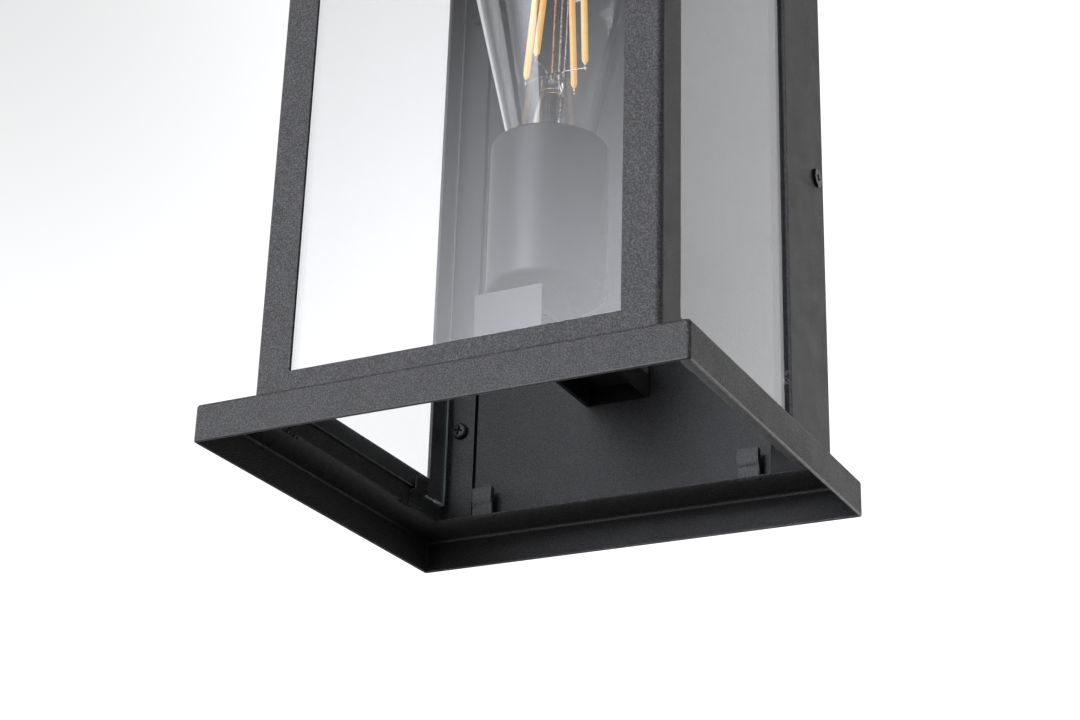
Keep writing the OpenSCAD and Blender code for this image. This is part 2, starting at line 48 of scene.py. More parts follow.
class Shader:
    """A Principled material and a few short ways to add nodes to it."""

    def __init__(self, name, color, roughness, metallic=0.0, **sockets):
        self.material = bpy.data.materials.new(name)
        self.material.use_nodes = True
        self.tree = self.material.node_tree
        self.surface = self.tree.nodes["Principled BSDF"]
        self.output = self.tree.nodes["Material Output"]
        self.set("Base Color", (*color, 1.0))
        self.set("Roughness", roughness)
        self.set("Metallic", metallic)
        for socket, value in sockets.items():
            self.set(socket.replace("_", " "), value)
        self.coords = self.tree.nodes.new("ShaderNodeTexCoord").outputs["Object"]

    def set(self, socket, value):
        """Sets a plain value on the surface."""
        self.surface.inputs[socket].default_value = value

    def link(self, source, socket):
        """Drives one of the surface's inputs by a node."""
        self.tree.links.new(source, self.surface.inputs[socket])

    def noise(self, size, detail=2.0, roughness=0.5, stretch=(1.0, 1.0, 1.0)):
        """Noise whose lumps are about size metres across. stretch scales the coordinates along each axis."""
        mapping = self.tree.nodes.new("ShaderNodeMapping")
        mapping.inputs["Scale"].default_value = stretch
        self.tree.links.new(self.coords, mapping.inputs["Vector"])
        node = self.tree.nodes.new("ShaderNodeTexNoise")
        node.inputs["Scale"].default_value = 1.0 / size
        node.inputs["Detail"].default_value = detail
        node.inputs["Roughness"].default_value = roughness
        self.tree.links.new(mapping.outputs["Vector"], node.inputs["Vector"])
        return node.outputs["Fac"]

    def along(self, axis):
        """How far a point lies along one of the object's axes, in metres."""
        node = self.tree.nodes.new("ShaderNodeSeparateXYZ")
        self.tree.links.new(self.coords, node.inputs["Vector"])
        return node.outputs[axis]

    def cells(self, size):
        """Distance to the nearest of many points about size metres apart."""
        node = self.tree.nodes.new("ShaderNodeTexVoronoi")
        node.inputs["Scale"].default_value = 1.0 / size
        self.tree.links.new(self.coords, node.inputs["Vector"])
        return node.outputs["Distance"]

    def spread(self, source, low, high, to_low, to_high):
        """Maps the stretch low..high of a value to to_low..to_high."""
        node = self.tree.nodes.new("ShaderNodeMapRange")
        for name, value in (("From Min", low), ("From Max", high), ("To Min", to_low), ("To Max", to_high)):
            node.inputs[name].default_value = value
        self.tree.links.new(source, node.inputs["Value"])
        return node.outputs["Result"]

    def blend(self, factor, dark, light):
        """A colour between dark and light."""
        node = self.tree.nodes.new("ShaderNodeMix")
        node.data_type = "RGBA"
        node.inputs["A"].default_value = (*dark, 1.0)
        node.inputs["B"].default_value = (*light, 1.0)
        self.tree.links.new(factor, node.inputs["Factor"])
        return node.outputs["Result"]

    def product(self, a, b):
        """Two values multiplied."""
        node = self.tree.nodes.new("ShaderNodeMath")
        node.operation = "MULTIPLY"
        self.tree.links.new(a, node.inputs[0])
        self.tree.links.new(b, node.inputs[1])
        return node.outputs[0]

    def bump(self, height, depth, strength=1.0):
        """Relief of about depth metres, added over any relief already there."""
        node = self.tree.nodes.new("ShaderNodeBump")
        node.inputs["Strength"].default_value = strength
        node.inputs["Distance"].default_value = depth
        self.tree.links.new(height, node.inputs["Height"])
        earlier = self.surface.inputs["Normal"].links
        if earlier:
            self.tree.links.new(earlier[0].from_socket, node.inputs["Normal"])
        self.link(node.outputs["Normal"], "Normal")


# ---------------------------------------------------------------- materials


def charcoal(shade):
    """A grey with a trace of blue."""
    return (shade, shade, shade * 1.03)


def speckled(s, dark, light):
    """The colour of the sand texture: a dark ground with lighter specks."""
    specks = s.spread(s.noise(0.42 * MM, detail=1.5), 0.42, 0.72, 0.0, 1.0)
    return s.blend(specks, charcoal(dark), charcoal(light))


def sand_relief(s, depth):
    """The lumps of the sand texture, about depth metres high, with a slightly uneven gloss."""
    s.link(s.spread(s.noise(9 * MM), 0.3, 0.7, 0.45, 0.53), "Roughness")
    s.bump(s.noise(0.55 * MM, detail=2.5, roughness=0.6), depth, 0.9)


def powder_coat(name, dark, light, depth, specular=0.5):
    """Charcoal powder coat with a fine sand texture. dark and light are the shades of ground and specks."""
    s = Shader(name, charcoal(dark), 0.52, Specular_IOR_Level=specular)
    s.link(speckled(s, dark, light), "Base Color")
    sand_relief(s, depth)
    return s.material


def corner_shade_coat():
    """Dull coat with painted shade in the closed corner behind the right pane: full at the foot, nearly black
    above it.
    """
    s = Shader("painted_shade_in_corner", charcoal(0.01), 0.6, Specular_IOR_Level=0.1)
    # The mask keeps the coat at the foot and paints shade above it.
    foot = s.spread(s.along("Z"), -116 * MM, -106 * MM, 1.0, 0.0)
    s.link(s.blend(foot, charcoal(0.006), charcoal(0.038)), "Base Color")
    sand_relief(s, 0.12 * MM)
    return s.material


def panel_coat_with_shade(dark, light, shaded):
    """The inside coat, with a painted shadow: nearly black on the patch of the back panel that the arm's
    channel closes in.
    """
    s = Shader("inside_coat_with_painted_shade", charcoal(dark), 0.52, Specular_IOR_Level=0.28)
    half, low, high, fade = 12.5 * MM, -83.2 * MM, -75.0 * MM, 0.3 * MM

    def between(axis, start, end):
        """1 between start and end along an axis, and 0 beyond them."""
        return s.product(s.spread(s.along(axis), start - fade, start, 0.0, 1.0),
                         s.spread(s.along(axis), end, end + fade, 1.0, 0.0))

    # The patch is painted shadow inside the arm's channel.
    patch = s.product(between("X", -half, half), between("Z", low, high))
    coat = s.blend(patch, charcoal(dark), charcoal(shaded))
    s.tree.links.new(speckled(s, dark, light), coat.node.inputs["A"])
    s.link(coat, "Base Color")
    sand_relief(s, 0.12 * MM)
    return s.material


def thin_coat(name, shade):
    """Powder coat drawn thin over a cut edge: smooth and glossy, in the shade given; a pale shade paints a
    highlight along the edge.
    """
    s = Shader(name, charcoal(shade), 0.25)
    s.link(s.spread(s.noise(4 * MM), 0.3, 0.7, 0.2, 0.32), "Roughness")
    s.bump(s.noise(1.4 * MM), 0.02 * MM, 0.4)
    return s.material


def smooth_paint(name, shade, roughness):
    """Satin paint on the lamp cup and its arm, with a faint orange-peel surface."""
    s = Shader(name, (shade, shade, shade * 1.06), roughness)
    s.link(s.spread(s.noise(6 * MM), 0.3, 0.7, roughness - 0.03, roughness + 0.03), "Roughness")
    s.bump(s.noise(0.8 * MM, detail=1.5), 0.03 * MM, 0.5)
    return s.material


def clear_glass(name, tint, ior):
    """Clear glass. Light for the inside passes straight through it, so the inside isn't dark or noisy."""
    s = Shader(name, tint, 0.0, IOR=ior, Transmission_Weight=1.0)
    nodes, links = s.tree.nodes, s.tree.links
    path = nodes.new("ShaderNodeLightPath")
    either = nodes.new("ShaderNodeMath")
    either.operation = "MAXIMUM"
    links.new(path.outputs["Is Shadow Ray"], either.inputs[0])
    links.new(path.outputs["Is Diffuse Ray"], either.inputs[1])
    straight = nodes.new("ShaderNodeBsdfTransparent")
    straight.inputs["Color"].default_value = (0.93, 0.94, 0.94, 1.0)
    mix = nodes.new("ShaderNodeMixShader")
    links.new(either.outputs[0], mix.inputs["Fac"])
    links.new(s.surface.outputs["BSDF"], mix.inputs[1])
    links.new(straight.outputs["BSDF"], mix.inputs[2])
    links.new(mix.outputs["Shader"], s.output.inputs["Surface"])
    return s.material


def ground_edge():
    """The ground, seamed edge of a pane: matt and pale green, since it gathers light along the glass."""
    s = Shader("pane_edge", (0.55, 0.68, 0.64), 0.35, Transmission_Weight=0.5)
    streaks = s.noise(3 * MM, stretch=(1.0, 1.0, 0.15))
    s.link(s.blend(streaks, (0.38, 0.55, 0.5), (0.72, 0.82, 0.79)), "Base Color")
    s.bump(s.noise(0.4 * MM), 0.03 * MM, 0.6)
    return s.material


def black_screw():
    """Black plated screw with a light oil sheen."""
    s = Shader("screw_black", (0.018, 0.018, 0.019), 0.34, Specular_IOR_Level=0.4)
    s.link(s.spread(s.noise(1.2 * MM), 0.3, 0.7, 0.24, 0.4), "Roughness")
    s.bump(s.noise(0.5 * MM), 0.03 * MM, 0.5)
    return s.material


def zinc_plate():
    """Bright zinc plate, faintly mottled, with light rolling marks."""
    s = Shader("zinc_plated_steel", (0.6, 0.61, 0.62), 0.34, metallic=1.0)
    s.link(s.blend(s.noise(5 * MM, detail=3), (0.5, 0.51, 0.53), (0.68, 0.68, 0.67)), "Base Color")
    s.link(s.spread(s.noise(2 * MM), 0.3, 0.7, 0.26, 0.42), "Roughness")
    s.bump(s.noise(1.2 * MM, stretch=(1.0, 1.0, 14.0)), 0.01 * MM, 0.5)
    return s.material


def green_plate():
    """Green dyed plating on the ground screw."""
    s = Shader("ground_green", (0.04, 0.3, 0.1), 0.3, metallic=0.7)
    s.link(s.blend(s.noise(1.5 * MM), (0.03, 0.24, 0.08), (0.06, 0.38, 0.13)), "Base Color")
    s.bump(s.noise(0.5 * MM), 0.02 * MM, 0.4)
    return s.material


def ceramic():
    """Glazed porcelain of the lampholder's body, off-white with rare dark grains."""
    s = Shader("socket_ceramic", (0.85, 0.83, 0.77), 0.25, Coat_Weight=0.4)
    grains = s.spread(s.cells(2.4 * MM), 0.06, 0.1, 1.0, 0.0)
    s.link(s.blend(grains, (0.85, 0.83, 0.77), (0.5, 0.45, 0.38)), "Base Color")
    s.bump(s.noise(2.5 * MM), 0.05 * MM, 0.4)
    return s.material


def brass():
    """Bare stamped brass, slightly browned in patches."""
    s = Shader("brass", (0.78, 0.57, 0.25), 0.28, metallic=1.0)
    s.link(s.blend(s.noise(4 * MM, detail=4), (0.62, 0.42, 0.17), (0.84, 0.64, 0.3)), "Base Color")
    s.link(s.spread(s.noise(1.5 * MM), 0.3, 0.7, 0.2, 0.38), "Roughness")
    return s.material


def nickel():
    """Nickel-plated sheet of the bulb's cap."""
    s = Shader("bulb_nickel", (0.72, 0.7, 0.66), 0.2, metallic=1.0)
    s.link(s.spread(s.noise(1.5 * MM, detail=3), 0.3, 0.7, 0.14, 0.3), "Roughness")
    s.bump(s.noise(3 * MM), 0.03 * MM, 0.3)
    return s.material


def vitrite():
    """Black glass between the bulb's cap and its tip."""
    s = Shader("cap_black_glass", (0.012, 0.012, 0.014), 0.12)
    s.bump(s.noise(1.5 * MM), 0.05 * MM, 0.4)
    return s.material


def circuit_board():
    """Green board, with its copper runs showing faintly under the mask."""
    s = Shader("driver_board", (0.03, 0.2, 0.08), 0.4)
    runs = s.spread(s.noise(1.6 * MM, detail=0, stretch=(1.0, 1.0, 0.25)), 0.52, 0.54, 0.0, 1.0)
    s.link(s.blend(runs, (0.02, 0.15, 0.06), (0.06, 0.3, 0.12)), "Base Color")
    s.bump(runs, 0.03 * MM, 0.6)
    return s.material


def phosphor():
    """Amber silicone over a row of chips: soft, slightly translucent, banded, with a painted glow though the
    lamp is unlit.
    """
    # The emission paints a glow.
    s = Shader("led_phosphor", (1.0, 0.56, 0.16), 0.42, Subsurface_Weight=0.35, Emission_Strength=0.55)
    s.set("Emission Color", (1.0, 0.6, 0.18, 1.0))
    s.set("Subsurface Radius", (1.0, 0.5, 0.15))
    s.set("Subsurface Scale", 0.6 * MM)
    chips = s.noise(1.3 * MM, detail=0, stretch=(0.05, 0.05, 1.0))
    s.link(s.blend(chips, (1.0, 0.5, 0.12), (1.0, 0.68, 0.26)), "Base Color")
    s.bump(s.noise(0.7 * MM), 0.05 * MM, 0.5)
    return s.material


def wire(name, color, roughness):
    """Drawn wire of a bare metal."""
    s = Shader(name, color, roughness, metallic=1.0)
    s.link(s.spread(s.noise(1 * MM), 0.3, 0.7, roughness * 0.7, roughness * 1.3), "Roughness")
    return s.material


def floor_paper():
    """Pale matt paper for the floor."""
    s = Shader("floor_paper", (0.86, 0.86, 0.86), 0.9)
    s.link(s.blend(s.noise(0.4, detail=3), (0.84, 0.84, 0.84), (0.88, 0.88, 0.88)), "Base Color")
    return s.material


POWDER = powder_coat("black_powder_coat", 0.036, 0.155, 0.3 * MM)
INNER_COAT = powder_coat("black_coat_inside", 0.027, 0.085, 0.12 * MM, 0.28)
# Painted shadow down the seams at the back panel's edges.
SEAM_SHADE = powder_coat("painted_shade_in_seams", 0.004, 0.01, 0.1 * MM, 0.05)
# Inside coat with a painted shadow inside the arm's channel.
PANEL_COAT_AND_SHADE = panel_coat_with_shade(0.027, 0.085, 0.004)
# Painted shade on the rear inner wall of the skirt.
REAR_WALL_SHADE = powder_coat("painted_shade_on_rear_wall", 0.016, 0.048, 0.2 * MM, 0.25)
# Paler coat: a painted highlight on the right side of the rolled mouth edge.
LIP_HIGHLIGHT = powder_coat("painted_highlight_on_lip", 0.11, 0.32, 0.3 * MM)
THIN_COAT = thin_coat("powder_coat_edge", 0.075)
# Pale thin coat: a painted highlight along the skirt's right lower edge.
EDGE_HIGHLIGHT = thin_coat("painted_highlight_on_edge", 0.5)
# Painted shade for the closed corner behind the right pane.
CORNER_SHADE = corner_shade_coat()
CUP_PAINT = smooth_paint("lamp_cup_paint", 0.03, 0.46)
ARM_PAINT = smooth_paint("support_arm_paint", 0.05, 0.41)
PANE = clear_glass("pane_glass", (0.98, 0.983, 0.988), 1.53)
BLOWN = clear_glass("bulb_glass", (0.985, 0.99, 0.99), 1.48)
PANE_EDGE = ground_edge()
SCREW_BLACK = black_screw()
ZINC = zinc_plate()
GREEN = green_plate()
CERAMIC = ceramic()
BRASS = brass()
NICKEL = nickel()
VITRITE = vitrite()
BOARD = circuit_board()
# The filaments' emission is a painted glow; the lamp is unlit.
GLOWING_PHOSPHOR = phosphor()
COPPER_WIRE = wire("copper_wire", (0.85, 0.45, 0.25), 0.3)
NICKEL_WIRE = wire("filament_wire", (0.75, 0.73, 0.7), 0.25)


# ---------------------------------------------------------------- CAD sheet parts


def dress(node, material, edge=0.0, segments=3):
    """Gives a CAD node its finish. Where edge isn't 0, its edges get a round of that radius, or a facet."""
    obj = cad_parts[node]
    obj.data.materials.clear()
    obj.data.materials.append(material)
    if not edge:
        return
    mesh = obj.data
    mesh.normals_split_custom_set([(0.0, 0.0, 0.0)] * len(mesh.loops))
    if segments > 1:
        mesh.shade_smooth()
    else:
        mesh.shade_flat()
    weld = obj.modifiers.new("weld", "WELD")
    weld.merge_threshold = 0.001 * MM
    flat = obj.modifiers.new("flat_faces", "DECIMATE")
    flat.decimate_type = "DISSOLVE"
    flat.angle_limit = math.radians(0.5)
    bevel = obj.modifiers.new("round_edges", "BEVEL")
    bevel.width = edge
    bevel.segments = segments
    bevel.limit_method = "ANGLE"
    bevel.angle_limit = math.radians(40)
    if segments > 1:
        even = obj.modifiers.new("even_normals", "WEIGHTED_NORMAL")
        even.keep_sharp = True


SHEET_EDGE = 0.3 * MM
for part in ("front_frame", "left_side_frame", "right_side_frame", "roof"):
    dress(part, POWDER, SHEET_EDGE)
# The right angle carries painted shade in its corner, and the back panel a painted shadow inside the arm's
# channel.
inside_coats_and_shades = {"left_rear_angle": INNER_COAT, "right_rear_angle": CORNER_SHADE, "back_panel": PANEL_COAT_AND_SHADE}
for part, coat in inside_coats_and_shades.items():
    dress(part, coat, 0.15 * MM)
dress("top_tray", INNER_COAT, SHEET_EDGE)
dress("support_arm", ARM_PAINT, SHEET_EDGE)
dress("nipple_spacer", POWDER, 0.4 * MM)
dress("wall_bracket", ZINC, 0.3 * MM)
dress("lock_washer", ZINC, 0.15 * MM, 2)
for part in ("centre_contact", "contact_rivet"):
    dress(part, BRASS, 0.12 * MM, 2)
dress("led_driver", BOARD, 0.1 * MM, 1)


def seam_shade():
    """Painted shadow: the panel's stepped-back edges, seen down the seams, get a nearly black coat."""
    edge_y = -22.8 * MM
    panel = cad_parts["back_panel"]
    panel.data.materials.append(SEAM_SHADE)
    to_world = panel.matrix_world
    for face in panel.data.polygons:
        ahead = (to_world.to_3x3() @ face.normal).y
        if ahead < -0.9 and abs((to_world @ face.center).y - edge_y) < 0.2 * MM:
            face.material_index = 1


seam_shade()


# ---------------------------------------------------------------- mesh helpers, in millimetres


class Shape:
    """Points in millimetres and faces, gathered for one piece. Each face keeps the number of its finish."""

    def __init__(self):
        self.points = []
        self.faces = []
        self.finish = []

    def add(self, points, faces, finish=0):
        """Adds points and the faces between them, all of one finish."""
        start = len(self.points)
        self.points.extend(points)
        self.faces.extend(tuple(start + i for i in face) for face in faces)
        self.finish.extend([finish] * len(faces))

    def skin(self, loops, ends=False, ring=False, finish=0):
        """Skins loops of equally many points. ring joins the last loop to the first, ends caps both."""
        n = len(loops[0])
        points = [p for loop in loops for p in loop]
        faces = []
        for i in range(len(loops) if ring else len(loops) - 1):
            a, b = i * n, (i + 1) % len(loops) * n
            for j in range(n):
                k = (j + 1) % n
                faces.append((a + j, a + k, b + k, b + j))
        if ends:
            faces.append(tuple(range(n))[::-1])
            faces.append(tuple(range((len(loops) - 1) * n, len(loops) * n)))
        self.add(points, faces, finish)


def place(points, origin, along=(0, 0, 1), spin=0.0):
    """Turns points built along +z so that they point along another axis, then moves them to origin."""
    turn = Vector((0, 0, 1)).rotation_difference(Vector(along)) @ Quaternion((0, 0, 1), math.radians(spin))
    return [tuple(turn @ Vector(p) + Vector(origin)) for p in points]


def circle(r, z, n=64):
    """Points of a circle about z at the height z."""
    return [(r * math.cos(2 * math.pi * i / n), r * math.sin(2 * math.pi * i / n), z) for i in range(n)]


def arc(cx, cz, rx, rz, start, end, steps):
    """Points of an elliptical arc in a section, from start to end degrees."""
    angles = [math.radians(start + (end - start) * i / steps) for i in range(steps + 1)]
    return [(cx + rx * math.cos(a), cz + rz * math.sin(a)) for a in angles]


def lathe(section, n=64, ring=True):
    """A turned shape about z from a section of (radius, height) points, closed on itself if ring."""
    shape = Shape()
    shape.skin([circle(r, z, n) for r, z in section], ring=ring)
    return shape


def tube(path, radius, n=10):
    """A round wire along a path, with domed ends."""
    points = [Vector(p) for p in path]
    loops = []
    side = None
    for i, p in enumerate(points):
        ahead = (points[min(i + 1, len(points) - 1)] - points[max(i - 1, 0)]).normalized()
        if side is None:
            side = ahead.orthogonal().normalized()
        side = (side - ahead * side.dot(ahead)).normalized()
        up = ahead.cross(side)
        r = radius[i] if isinstance(radius, list) else radius
        loops.append([tuple(p + (side * math.cos(a) + up * math.sin(a)) * r)
                      for a in (2 * math.pi * k / n for k in range(n))])
        last = ahead
    first = (points[1] - points[0]).normalized()
    r0, r1 = (radius[0], radius[-1]) if isinstance(radius, list) else (radius, radius)

    def dome(loop, centre, direction, r):
        """Two loops over an end, drawn in and pushed out as on a half sphere."""
        loops = []
        for k in (0.85, 0.5):
            out = direction * r * math.sqrt(1 - k * k)
            loops.append([tuple(centre + (Vector(q) - centre) * k + out) for q in loop])
        return loops

    tail = dome(loops[0], points[0], -first, r0)[::-1]
    tip = dome(loops[-1], points[-1], last, r1)
    shape = Shape()
    shape.skin(tail + loops + tip, ends=True)
    return shape


def smooth_path(points, steps=6):
    """A Catmull-Rom curve through the points."""
    p = [Vector(q) for q in points]
    p = [2 * p[0] - p[1]] + p + [2 * p[-1] - p[-2]]
    out = []
    for i in range(1, len(p) - 2):
        for s in range(steps):
            t = s / steps
            a, b, c, d = p[i - 1], p[i], p[i + 1], p[i + 2]
            out.append(tuple(0.5 * (2 * b + (c - a) * t + (2 * a - 5 * b + 4 * c - d) * t * t
                                    + (3 * b - a - 3 * c + d) * t ** 3)))
    out.append(tuple(p[-2]))
    return out


def piece(name, shape, materials, body, nodes, sharp=40.0):
    """Makes a mesh, smooth but for edges over sharp degrees, and puts it in the place of the nodes."""
    mesh = bpy.data.meshes.new(name)
    mesh.from_pydata([[c * MM for c in p] for p in shape.points], [], shape.faces)
    for material in materials:
        mesh.materials.append(material)
    mesh.polygons.foreach_set("material_index", shape.finish)
    joined = bmesh.new()
    joined.from_mesh(mesh)
    bmesh.ops.remove_doubles(joined, verts=joined.verts, dist=0.0005 * MM)
    bmesh.ops.recalc_face_normals(joined, faces=joined.faces)
    joined.to_mesh(mesh)
    joined.free()
    mesh.shade_smooth()
    mesh.set_sharp_from_angle(angle=math.radians(sharp))
    obj = bpy.data.objects.new(name, mesh)
    bpy.context.scene.collection.objects.link(obj)
    even = obj.modifiers.new("even_normals", "WEIGHTED_NORMAL")
    even.keep_sharp = True
    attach(obj, body)
    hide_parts(*nodes)


def merge(shape, other, origin=(0, 0, 0), along=(0, 0, 1), spin=0.0, finish=None):
    """Adds another shape to this one, turned and moved."""
    marks = other.finish if finish is None else [finish] * len(other.faces)
    start = len(shape.points)
    shape.points.extend(place(other.points, origin, along, spin))
    shape.faces.extend(tuple(start + i for i in face) for face in other.faces)
    shape.finish.extend(marks)


def bent_strip(path, width, thickness, across, edge=0.25):
    """A sheet strip along a path in one plane. across is the direction of its width."""
    u = Vector(across)
    points = [Vector(p) for p in path]
    a, b, r = width / 2, thickness / 2, edge
    corners = [(a - r, b - r, 0), (-a + r, b - r, 90), (-a + r, -b + r, 180), (a - r, -b + r, 270)]
    outline = [(cx + r * math.cos(math.radians(s + k)), cy + r * math.sin(math.radians(s + k)))
               for cx, cy, s in corners for k in (0, 30, 60, 90)]
    loops = []
    for i, p in enumerate(points):
        ahead = (points[min(i + 1, len(points) - 1)] - points[max(i - 1, 0)]).normalized()
        v = ahead.cross(u)
        loops.append([tuple(p + u * x + v * y) for x, y in outline])
    shape = Shape()
    shape.skin(loops, ends=True)
    return shape


def plate(outline, lo, hi, edge=0.2):
    """A flat plate: an outline in (y, z) drawn out along x, its edges eased."""
    centre = Vector((sum(p[0] for p in outline) / len(outline), sum(p[1] for p in outline) / len(outline)))

    def loop(x, inset):
        """The outline at x, drawn in towards its centre by inset."""
        shrunk = [Vector(p) + (centre - Vector(p)).normalized() * inset for p in outline]
        return [(x, p.x, p.y) for p in shrunk]

    shape = Shape()
    shape.skin([loop(lo, edge), loop(lo + edge, 0), loop(hi - edge, 0), loop(hi, edge)], ends=True)
    return shape


def thread(root, crest, pitch, z0, z1, n=32, steps=6):
    """Loops of a screw thread from z0 to z1, which runs out over one pitch at each end."""
    loops = []
    count = max(2, round((z1 - z0) / pitch * steps))
    for i in range(count + 1):
        z = z0 + (z1 - z0) * i / count
        fade = min(1.0, (z - z0) / pitch, (z1 - z) / pitch)
        loop = []
        for j in range(n):
            ridge = 0.5 + 0.5 * math.cos(2 * math.pi * (z / pitch - j / n))
            r = root + (crest - root) * ridge * fade
            loop.append((r * math.cos(2 * math.pi * j / n), r * math.sin(2 * math.pi * j / n), z))
        loops.append(loop)
    return loops


def screw(length, head_r, head_h, shank=1.95, pitch=0.7):
    """A cross-recessed pan-head screw along +z, its head below z = 0 and its thread run out to a chamfer."""
    n = 96
    edge = head_h * 0.5
    arm_len, arm_half, depth = 1.7, 0.36, min(1.1, head_h * 0.7)

    def sunk(x, y):
        """How far a point of the head's top lies down in the cross."""
        inside = max(min(arm_len - abs(x), arm_half - abs(y)), min(arm_len - abs(y), arm_half - abs(x)))
        return depth * min(max(inside / 0.16 + 0.3, 0.0), 1.0)

    section = [(head_r, 0.0)] + arc(head_r - edge, -head_h + edge, edge, edge, 0, -90, 8)
    loops = [circle(r, z, n) for r, z in section]
    reach = 1.95
    rings = 26
    loops.append([(x * 1.02, y * 1.02, -head_h) for x, y, z in circle(reach, 0.0, n)])
    for i in range(rings):
        r = reach * (1 - i / rings)
        loops.append([(x, y, -head_h + sunk(x, y)) for x, y, z in circle(r, 0.0, n)])
    shape = Shape()
    shape.skin(loops[::-1] + [circle(shank, 0.0, n)], ends=True)
    body = [circle(shank, -0.3, 32), circle(shank, 0.3, 32)]
    body += thread(shank * 0.86, shank, pitch, 0.4, length - 0.5)
    body += [circle(shank * 0.72, length, 32)]
    shape.skin(body, ends=True)
    return shape


def hex_nut(corner_r, bore, height):
    """A hex nut along +z with both faces chamfered and a threaded bore."""
    n = 96
    face_r = corner_r * 0.87

    def outline(z, up):
        """The six flats at the height z, cut down at the corners on the side that up gives."""
        out = []
        for i in range(n):
            a = 2 * math.pi * i / n
            flat = corner_r * math.cos(math.pi / 6) / math.cos((a % (math.pi / 3)) - math.pi / 6)
            drop = max(0.0, flat - face_r) * math.tan(math.radians(28))
            out.append((flat * math.cos(a), flat * math.sin(a), z - up * drop))
        return out

    loops = [circle(bore + 0.35, 0.0, n), circle(face_r, 0.0, n), outline(0.0, -1), outline(height, 1),
             circle(face_r, height, n), circle(bore + 0.35, height, n)]
    loops += [circle(bore, height - 0.35, n)]
    loops += thread(bore + 0.15, bore, 0.7, 0.35, height - 0.35, n)[::-1]
    shape = Shape()
    shape.skin(loops, ring=True)
    return shape


# ---------------------------------------------------------------- lower skirt

LOW, RIM = -133.0, -120.2


def rounded_rect(x0, x1, y0, y1, r, z):
    """A rectangle with round corners at height z."""
    loop = []
    corners = ((x1 - r, y1 - r, 0), (x0 + r, y1 - r, 90), (x0 + r, y0 + r, 180), (x1 - r, y0 + r, 270))
    for cx, cy, start in corners:
        for k in range(0, 91, 15):
            a = math.radians(start + k)
            loop.append((cx + r * math.cos(a), cy + r * math.sin(a), z))
    return loop


def skirt_ring():
    """The stamped ring: rolled mouth edge, flat flange, inner bend, wall, round lower edge and two tabs."""
    half, front_y, rear_y = 85, -157, -9
    mouth_half, mouth_front_y, mouth_rear_y = 69.9, -144.8, -28.2

    def outer(inset, z):
        """The ring's outline, drawn in by inset."""
        radius = max(1.2 - inset, 0.4)
        return rounded_rect(-half + inset, half - inset, front_y + inset, rear_y - inset, radius, z)

    def mouth(grow, z):
        """The outline of the mouth, grown into the flange."""
        x, radius = mouth_half + grow, 0.5 + grow
        return rounded_rect(-x, x, mouth_front_y - grow, mouth_rear_y + grow, radius, z)

    roll = [mouth(d, z) for d, z in arc(3.5, RIM, 3.5, 1.0, 180, 270, 8)]
    inner_bend = [outer(d, z) for d, z in arc(2.0, RIM - 2.0, 1.0, 1.0, 90, 180, 6)]
    lower_edge = [outer(d, z) for d, z in arc(0.5, LOW + 0.5, 0.5, 0.5, 0, -180, 8)]
    outer_bend = [outer(d, z) for d, z in arc(1.3, RIM - 1.3, 1.3, 1.3, 180, 90, 8)]
    shape = Shape()
    coats = (POWDER, THIN_COAT, REAR_WALL_SHADE, EDGE_HIGHLIGHT, LIP_HIGHLIGHT)
    edge, under, worn, lip = 1, 2, 3, 4
    # A strip of faces runs round the ring from its right rear corner: face 6 is the rear, face 27 the right
    around, rear, right = 28, 6, 27

    def repaint(first, strips, side, finish):
        """Gives one side of some strips, counted from the face called first, another finish."""
        for strip in strips:
            shape.finish[first + strip * around + side] = finish

    shape.skin(roll + inner_bend)
    # The right side of the roll gets a painted highlight.
    repaint(0, range(len(roll)), right, lip)
    wall_start = len(shape.faces)
    shape.skin([inner_bend[-1], lower_edge[0]])
    # The rear part of the inner wall gets painted shade.
    repaint(wall_start, (0,), rear, under)
    edge_start = len(shape.faces)
    shape.skin(lower_edge, finish=edge)
    outer_half = range(4, 8)
    # The outer half of the right lower edge gets a painted highlight.
    repaint(edge_start, outer_half, right, worn)
    shape.skin([lower_edge[-1]] + outer_bend + [roll[0]])

    top = RIM + 10.0
    for x in (-51.4, 51.4):
        bend = [(x, y, z) for y, z in arc(-26.6, RIM + 0.6, 1.1, 1.1, 270, 180, 5)]
        jog = [(x, -27.7, RIM + 3.4), (x, -27.85, RIM + 3.9), (x, -28.35, RIM + 4.6), (x, -28.5, RIM + 5.2)]
        path = [(x, -25.5, RIM - 0.5)] + bend + jog + [(x, -28.5, top - 0.3), (x, -28.5, top)]
        merge(shape, bent_strip(path, 7.9, 1.0, (1, 0, 0)))
        side = [(-28.0, RIM), (-27.2, RIM), (-26.8, top), (-28.7, top), (-28.7, RIM + 5), (-28.0, RIM + 3.6)]
        for lo in (x - 4, x + 3.1):
            merge(shape, plate(side, lo, lo + 0.9))
    for y in (-124.0, -50.5):
        for shift, size in ((-4.2, 0.45), (-2.6, 0.7), (-0.5, 0.55), (1.4, 0.8), (3.6, 0.5)):
            section = [(0.01, -size), (size, -0.6 * size), (0.9 * size, 0.2 * size), (0.01, 0.7 * size)]
            bead = lathe(section, 16, ring=False)
            merge(shape, bead, (-70.4, y + shift, RIM - 0.75), (0.5, 0.0, -1.0), finish=edge)
    piece("skirt_ring", shape, coats, LANTERN, ("base_ring",))


skirt_ring()


# ---------------------------------------------------------------- panes and clips

PANE_LOW, PANE_HIGH = -114.5, 126.5


